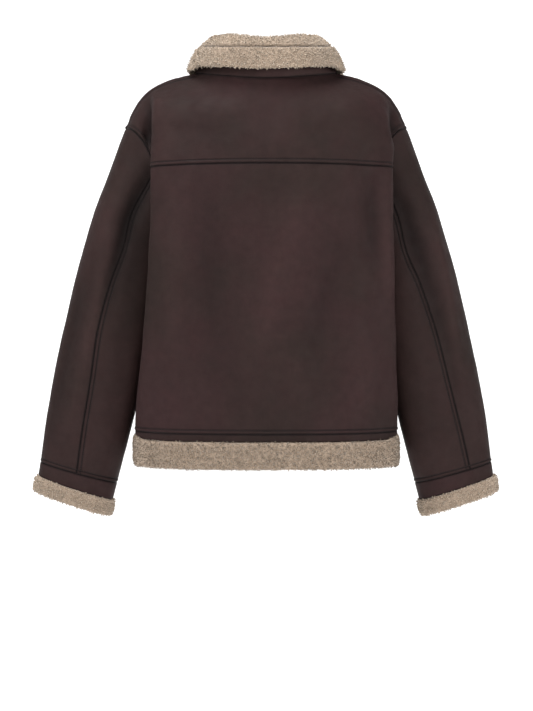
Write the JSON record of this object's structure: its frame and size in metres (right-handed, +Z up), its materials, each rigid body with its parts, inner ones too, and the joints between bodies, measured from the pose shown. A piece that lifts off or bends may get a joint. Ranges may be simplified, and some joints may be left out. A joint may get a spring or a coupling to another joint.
{
  "type": "sherpa lined jacket",
  "caption": "Short leather-faced jacket with sherpa collar, hem and cuffs, filled out as worn, closed by a front zip.",
  "frame": {"origin": "middle of the neck, level with the points where the shoulder seams meet the collar; this is where the wearer holds the jacket up", "axes": "+Z up, +Y towards the front of the jacket, +X towards the wearer's right"},
  "size_m": [0.7779, 0.2612, 0.7937],
  "materials": {
    "leather": "matte aubergine-brown nubuck-like leather face, soft grain, faint mottling",
    "sherpa": "warm beige curly sherpa pile",
    "zip_tape": "dark brown woven tape",
    "zip_metal": "dark antique metal, satin"
  },
  "bodies": {
    "jacket": {"back_yoke": "leather", "back_body": "leather", "front_left": "leather", "front_right": "leather", "hem_band": "leather", "collar_stand": "leather", "sleeve_top_left": "leather", "sleeve_under_left": "leather", "cuff_band_left": "leather", "sleeve_top_right": "leather", "sleeve_under_right": "leather", "cuff_band_right": "leather", "cuff_fleece_left": "sherpa", "cuff_fleece_right": "sherpa", "hem_fleece": "sherpa", "collar_fleece": "sherpa", "zip_tape_left": "zip_tape", "zip_tape_right": "zip_tape", "zip_chain": "zip_metal", "zip_slider": "zip_metal"},
    "zip_pull": {"zip_pull": "zip_metal"}
  },
  "joints": [
    {"name": "pull_hinge", "type": "hinge", "parent": "jacket", "child": "zip_pull", "pos_m": [0, 0.10556, -0.08834], "axis": [1, 0, 0], "range_deg": [0, 150]}
  ]
}
